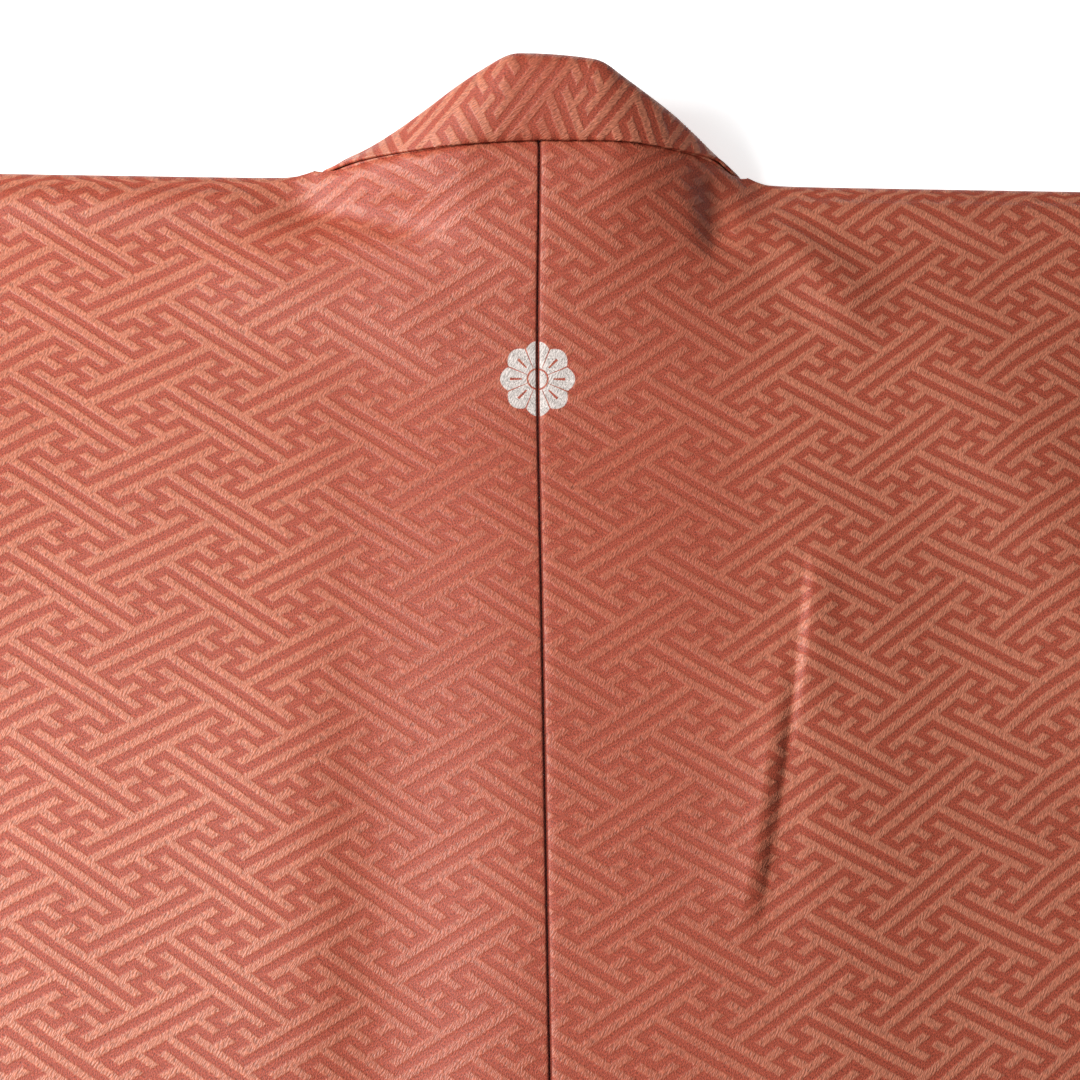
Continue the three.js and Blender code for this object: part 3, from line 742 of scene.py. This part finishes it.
def neck_stations(side):
    """Sections of one half of the collar, from the centre back to the side of the neck. There the
    band dives under the shoulder."""
    seams, crests, ends = [], [], []
    for values in COLLAR_BACK:
        row = dict(zip(BAND_KEYS, values))
        skew = side * CREST_SKEW * (1 - smooth(CREST_SKEW_FROM[side], CREST_SKEW_TO, row["crest_x"]))
        dive = smooth(*DIVE, row["seam"])
        seam_y = neck_seam_y(row["seam"], side) - DIVE_Y * dive
        seams.append(Vector((row["seam"], seam_y, neck_seam_z(row["seam"]) - DIVE_Z * dive)))
        tilt = CREST_TILT * side * row["crest_x"] * (1 - smooth(*CREST_TILT_FADE, row["crest_x"]))
        drop = CREST_DROP * (1 - smooth(*CREST_DROP_FADE, row["crest_x"]))
        x, y, z = (row[key] for key in ("crest_x", "crest_y", "crest_z"))
        crests.append(Vector((x + skew, y - drop - tilt, z - drop)))
        ends.append(Vector((row["end_x"] + skew * 0.5, row["end_y"], row["end_z"])))
    mirror = Vector((side, 1, 1))
    lines = [along_rows(rows, BAND_STEPS_BETWEEN) for rows in (seams, crests, ends)]
    return [tuple(point * mirror for point in station) for station in zip(*lines)]


def front_stations(side):
    """Sections of one half of the collar, from the side of the neck to the collar's end."""
    stations = []
    for down in [0.5, 1.7, 3, 5, 9, 15, 26, 40] + steps(60, COLLAR_END, 74):
        x = NECK - 0.2 if down < 1 else front_seam_x(down)
        ahead = front_seam_x(down + 1) - front_seam_x(down)
        across = Vector((-1, -ahead)).normalized()
        width = mix(COLLAR_WIDTH, COLLAR_END_WIDTH, smooth(300, COLLAR_END, down))
        lean = mix(BAND_LEAN, 0, smooth(0, BAND_LEAN_END, down))
        stack = (COVER_CLOTH + LAY) * (1 - smooth(COVER_LENGTH + 6, COVER_LENGTH + 60, down))
        lift = stack + (upper_lift(40, -down) if side > 0 else 0)
        shares = (0, BAND_TURN, 1)
        points = []
        for share, high, settled in zip(shares, BAND_AT_NECK, BAND_SETTLED):
            px = x + across.x * width * share
            py = -down + across.y * width * share - lean * share
            points.append(Vector((side * px, py, mix(high, lift, smooth(0, settled, down)))))
        stations.append(tuple(points))
    return stations


def band_section(station):
    """The band's outer face across its width."""
    seam, crest, end = station
    raised = clamp(crest.z - CREST_LOW, 0, CREST_MOST)
    upright = smooth(*CREST_UPRIGHT, crest.z)
    lead = (crest - seam).length
    roll = (end - crest).length
    half = seam.lerp(crest, 0.55) + BULGE * lead * clamp(raised / 20, 0, 1)
    over = crest.lerp(end, mix(0.08, 0.16, upright))
    over += Vector((0, 0.12, mix(-0.16, 0, upright))) * raised
    under = crest.lerp(end, clamp(22 / roll, 0.3, 0.6))
    under += Vector((0, 0.16 * raised, mix(-0.4, 0, upright) * (crest.z - end.z)))
    return evenly(centripetal([seam, half, crest, over, under, end]), BAND_STEPS)


def band(name, thickness, proud, reach):
    """The collar's band or its cover: proud is how far its outer face lies off the band's."""
    left, right = (neck_stations(side) + front_stations(side) for side in (-1, 1))
    stations = [s for s in left[::-1] + right[1:] if s[0].y > -reach - 1]
    sections = [band_section(station) for station in stations]
    widths = [line_lengths(section) for section in sections]
    runs = [line_lengths(line) for line in zip(*sections)]
    middle = len(sections) // 2

    def place(i, j):
        return tuple(sections[i][j]), (widths[i][j], runs[j][i] - runs[j][middle])

    piece = cloth_grid(name, list(range(len(sections))), list(range(BAND_STEPS + 1)), place)
    bm = bmesh.new()
    bm.from_mesh(piece.data)
    bm.normal_update()
    flat = bm.loops.layers.uv["cloth"]
    lifts = {}
    for vert in bm.verts:
        spot = vert.link_loops[0][flat].uv / MM
        stitched = 1 - smooth(*STITCHES_FADE, abs(vert.co.x / MM))
        sunk = stitch_dip(spot.x, spot.y) * (0.6 + proud) * stitched
        lifts[vert] = vert.normal * (proud + sunk)
    for vert, lift in lifts.items():
        vert.co += lift * MM
    bm.to_mesh(piece.data)
    bm.free()
    return give_wall(piece, thickness)


# Finishes


class Wire:
    """A socket's value in a finish. Sums on it add Math nodes."""

    def __init__(self, finish, socket):
        self.finish = finish
        self.socket = socket

    def math(self, operation, *values):
        inputs = dict(enumerate((self,) + values))
        return self.finish.node("ShaderNodeMath", {"operation": operation}, inputs)

    def __add__(self, other):
        return self.math("ADD", other)

    __radd__ = __add__

    def __mul__(self, other):
        return self.math("MULTIPLY", other)

    __rmul__ = __mul__

    def __sub__(self, other):
        return self.math("SUBTRACT", other)

    def __rsub__(self, other):
        return self.finish.node("ShaderNodeMath", {"operation": "SUBTRACT"}, {0: other, 1: self})

    def __truediv__(self, other):
        return self.math("DIVIDE", other)

    def __pow__(self, other):
        return self.math("POWER", other)

    def __gt__(self, other):
        return self.math("GREATER_THAN", other)

    def __lt__(self, other):
        return self.math("LESS_THAN", other)

    def __abs__(self):
        return self.math("ABSOLUTE")

    def least(self, other):
        return self.math("MINIMUM", other)

    def most(self, other):
        return self.math("MAXIMUM", other)

    def there_and_back(self, span):
        return self.math("PINGPONG", span)

    def blend(self, start, end):
        """start where this is 0 and end where it is 1."""
        return start + (end - start) * self

    def soft_step(self, low, high):
        settings = {"interpolation_type": "SMOOTHSTEP"}
        return self.finish.node("ShaderNodeMapRange", settings, {"Value": self, 1: low, 2: high})


class Finish:
    """One material and its node tree."""

    def __init__(self, name):
        self.material = bpy.data.materials.new(name)
        self.material.use_nodes = True
        self.tree = self.material.node_tree
        self.tree.nodes.clear()

    def node(self, kind, settings=None, inputs=None, output=0):
        made = self.tree.nodes.new(kind)
        for key, value in (settings or {}).items():
            setattr(made, key, value)
        for key, value in (inputs or {}).items():
            if isinstance(value, Wire):
                self.tree.links.new(value.socket, made.inputs[key])
            else:
                made.inputs[key].default_value = value
        return Wire(self, made.outputs[output]) if made.outputs else None

    def place_in_mm(self, axis):
        """The point's own place along one axis."""
        place = self.node("ShaderNodeTexCoord", output=3)
        return self.node("ShaderNodeSeparateXYZ", inputs={0: place}, output=axis) / MM

    def noise(self, place, grain, lean):
        """Soft noise whose grains are so many millimetres long and wide, turned by lean."""
        size = (grain[0] * MM, grain[1] * MM, 1)
        settings = {"vector_type": "TEXTURE"}
        inputs = {"Vector": place, "Rotation": (0, 0, lean), "Scale": size}
        turned = self.node("ShaderNodeMapping", settings, inputs)
        return self.node("ShaderNodeTexNoise", inputs={"Vector": turned, "Scale": 1.0, "Detail": 1.0})

    def colours(self, mask, first, second, blend_type="MIX"):
        settings = {"data_type": "RGBA", "blend_type": blend_type}
        return self.node("ShaderNodeMix", settings, {0: mask, 6: first, 7: second}, 2)


def fret_distance(across, along):
    """Distance to the woven strokes' edge, in strokes, less than 0 inside one. The fret repeats
    by mirrors, so a quarter of one unit is drawn and the rest is folded onto it."""
    u = across / (2 * CELL_ACROSS) - along / (2 * CELL_ALONG)
    v = across / (2 * CELL_ACROSS) + along / (2 * CELL_ALONG)
    half = REPEAT / 2
    far_u = u.there_and_back(REPEAT) > half
    far_v = v.there_and_back(REPEAT) > half
    swap = abs(far_u - far_v)
    near_u = u.there_and_back(half)
    near_v = v.there_and_back(half)
    x = swap.blend(near_u, near_v)
    y = swap.blend(near_v, near_u)
    long_bar = y - 0.5
    side_bar = abs(y - 2) - 0.5
    foot = (abs(x - 4) - 0.5).most(abs(y - 3.25) - 1.25)
    spine = (x - 0.5).most(1.5 - y)
    hook = (abs(x - 2) - 0.5).most(3.5 - y)
    return long_bar.least(side_bar).least(foot).least(spine).least(hook)


def figured_silk(name, start, painted_sheen_fade, crest=None):
    """Silk with the woven fret. start is where a stroke group is centred on the flat cloth, in mm.
    painted_sheen_fade says where the figure is painted fainter, a painted sheen standing in for the
    light that evens figure and ground there: across (0) or along (1), the middle, and how far off it
    starts to show more and shows whole. crest is how far up the back the dyed round mark is."""
    finish = Finish(name)
    flat = finish.node("ShaderNodeUVMap", {"uv_map": "cloth"})
    across = finish.node("ShaderNodeSeparateXYZ", inputs={0: flat}, output=0) / MM
    along = finish.node("ShaderNodeSeparateXYZ", inputs={0: flat}, output=1) / MM
    sway = finish.noise(flat, SWAY_GRAIN, 0) * SWAY - SWAY / 2
    ragged = finish.noise(flat, RAGGED_GRAIN, 0) * RAGGED - RAGGED / 2
    distance = fret_distance(across - start[0] + sway, along - start[1] + sway) + ragged
    stroke = distance.soft_step(0.14, -0.14)
    twist = finish.noise(flat, TWIST_GRAIN, TWIST_LEAN)
    crepe = finish.noise(flat, CREPE_GRAIN, TWIST_LEAN)
    broad = finish.noise(flat, BROAD_GRAIN, 0)
    # Painted sheen: the figure is drawn fainter where the light evens figure and ground
    outside_painted_sheen = abs((along if painted_sheen_fade[0] else across) - painted_sheen_fade[1]).soft_step(painted_sheen_fade[2], painted_sheen_fade[3])
    shown = stroke * (outside_painted_sheen.blend(0.5, 1) + (broad - 0.5) * 0.5)
    grain = stroke.blend(crepe, twist)
    speckle = (grain - 0.5) * stroke.blend(2.4, 1.8) + 1 + (broad - 0.5) * 0.12
    colour = finish.colours(shown, GROUND, FIGURE)
    roughness = stroke.blend(0.56, 0.46)
    if crest:
        x = finish.place_in_mm(0)
        y = finish.place_in_mm(1) - SHIFT_Y - crest
        colour, roughness = dyed_mark(finish, colour, roughness, x, y)
        # Painted shade: the centre seam's groove is darkened in colour on the back
        on_back = finish.place_in_mm(2) > SEAM_PAINTED_SHADE_ABOVE
        painted_seam_shade = abs(x).soft_step(SEAM_PAINTED_SHADE_REACH[1], SEAM_PAINTED_SHADE_REACH[0]) * on_back
        colour = finish.colours(painted_seam_shade, colour, SEAM_PAINTED_SHADE_COLOUR)
        roughness = painted_seam_shade.blend(roughness, 1.0)
    grey = finish.node("ShaderNodeCombineXYZ", inputs={0: speckle, 1: speckle, 2: speckle})
    colour = finish.colours(1.0, colour, grey, "MULTIPLY")
    height = distance.soft_step(0.3, -0.2) * 0.07 + grain * stroke.blend(0.12, 0.24)
    bump = finish.node("ShaderNodeBump", inputs={"Height": height, "Strength": 1.0, "Distance": MM})
    look = {"Base Color": colour, "Roughness": roughness, "Normal": bump, "Specular IOR Level": 0.5}
    shader = finish.node("ShaderNodeBsdfPrincipled", inputs=look)
    finish.node("ShaderNodeOutputMaterial", inputs={"Surface": shader})
    return finish.material


def dyed_mark(finish, colour, roughness, x, y):
    """A plain round flower of eight petals, undyed, with fine lines in the cloth's colour."""
    radius = (x * x + y * y) ** 0.5
    angle = x.math("ARCTAN2", y)
    petal = abs((angle * (MARK_PETALS / 2)).math("COSINE"))
    edge = petal * (MARK_RADIUS * 0.16) + MARK_RADIUS * 0.84
    inside = (edge - radius).soft_step(-0.15, 0.15)
    split = (1 - petal.soft_step(0.03, 0.14)) * (radius > MARK_RADIUS * 0.3)
    vein = petal.soft_step(0.965, 0.995) * (radius > MARK_RADIUS * 0.42) * (MARK_RADIUS * 0.74 > radius)
    ring = 1 - abs(radius - MARK_RADIUS * 0.27).soft_step(0.12, 0.4)
    drawn = split.most(vein).most(ring)
    white = inside * (1 - drawn)
    return finish.colours(white, colour, UNDYED), white.blend(roughness, 0.6)


body_silk_left = figured_silk("silk_of_left_length", (-44.6, -102.7), BODY_PAINTED_SHEEN, crest=MARK_Y)
body_silk_right = figured_silk("silk_of_right_length", (86.7, -145.4), BODY_PAINTED_SHEEN, crest=MARK_Y)
collar_silk = figured_silk("silk_of_collar", (37.4, 9.3), COLLAR_PAINTED_SHEEN)

left_length = body_length(-1)
right_length = body_length(1)
left_overlap = overlap_panel(-1)
right_overlap = overlap_panel(1)
left_sleeve = sleeve(-1)
right_sleeve = sleeve(1)
collar_band = band("collar_band", COLLAR_WALL, 0, COLLAR_END)
collar_cover = band("collar_cover_cloth", COVER_WALL, LAY + COVER_CLOTH, COVER_LENGTH)

DRESS = [
    (left_length, "body_left", "silk", body_silk_left, (0.31, 3.21), 0.888),
    (right_length, "body_right", "silk", body_silk_right, (0.31, 3.21), 0.888),
    (left_overlap, "overlap_left", "silk", body_silk_left, (0.16, 1.36), 0.147),
    (right_overlap, "overlap_right", "silk", body_silk_right, (0.16, 1.36), 0.147),
    (left_sleeve, "sleeve_left", "silk", body_silk_left, (0.332, 0.99), 0.325),
    (right_sleeve, "sleeve_right", "silk", body_silk_right, (0.332, 0.99), 0.325),
    (collar_band, "collar", "collar_silk", collar_silk, (0.075, 1.76), 0.102),
    (collar_cover, "collar_cover", "collar_silk", collar_silk, (0.058, 1.0), 0.054),
]
for piece, node, slot, silk, *_ in DRESS:
    piece.data.materials.append(silk)
    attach(piece, "root")
    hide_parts(node)


# Floor, light and camera


def pale_floor():
    bm = bmesh.new()
    bmesh.ops.create_grid(bm, x_segments=1, y_segments=1, size=4)
    bmesh.ops.translate(bm, verts=bm.verts, vec=(0, 0, -0.0005))
    mesh = bpy.data.meshes.new("floor")
    bm.to_mesh(mesh)
    bm.free()
    floor = bpy.data.objects.new("floor", mesh)
    bpy.context.scene.collection.objects.link(floor)
    finish = Finish("pale_floor")
    white = (0.85, 0.85, 0.85, 1)
    pale = {"Base Color": white, "Roughness": 0.9, "Emission Color": white, "Emission Strength": 0.72}
    shader = finish.node("ShaderNodeBsdfPrincipled", inputs=pale)
    finish.node("ShaderNodeOutputMaterial", inputs={"Surface": shader})
    mesh.materials.append(finish.material)


def area_light(name, place, aim, size, power):
    light = bpy.data.lights.new(name, "AREA")
    light.size = size
    light.energy = power
    lamp = bpy.data.objects.new(name, light)
    bpy.context.scene.collection.objects.link(lamp)
    lamp.location = Vector(place)
    lamp.rotation_euler = (Vector(aim) - Vector(place)).to_track_quat("-Z", "Y").to_euler()


def camera_as_photographed():
    data = bpy.data.cameras.new("camera")
    data.lens = CAMERA_LENS
    data.sensor_width = CAMERA_SENSOR
    data.clip_start = 0.01
    camera = bpy.data.objects.new("camera", data)
    bpy.context.scene.collection.objects.link(camera)
    aim = Vector((CAMERA_AIM[0], CAMERA_AIM[1] + SHIFT_Y, CAMERA_AIM[2])) * MM
    lean_x, lean_y = math.radians(CAMERA_LEAN_X), math.radians(CAMERA_LEAN_Y)
    back = Vector((math.tan(lean_x), math.tan(lean_y), 1)).normalized()
    right = Vector((0, 1, 0)).cross(back).normalized()
    upright = Matrix((right, back.cross(right), back)).transposed()
    camera.location = aim + back * CAMERA_DISTANCE * MM
    camera.rotation_euler = (upright @ Matrix.Rotation(math.radians(-CAMERA_ROLL), 3, "Z")).to_euler()
    bpy.context.scene.camera = camera


pale_floor()
neck_y = SHIFT_Y * MM
area_light("key", (-0.75, neck_y - 0.14, 0.62), (0, neck_y - 0.1, 0), 0.4, 13.3)
area_light("sheen", (-0.42, neck_y - 0.1, 1.1), (0, neck_y - 0.1, 0), 0.5, 3.1)
world = bpy.data.worlds.new("studio")
world.use_nodes = True
world.node_tree.nodes["Background"].inputs["Color"].default_value = (1, 1, 1, 1)
world.node_tree.nodes["Background"].inputs["Strength"].default_value = 0.08
bpy.context.scene.world = world
bpy.context.scene.view_settings.view_transform = "Standard"
camera_as_photographed()
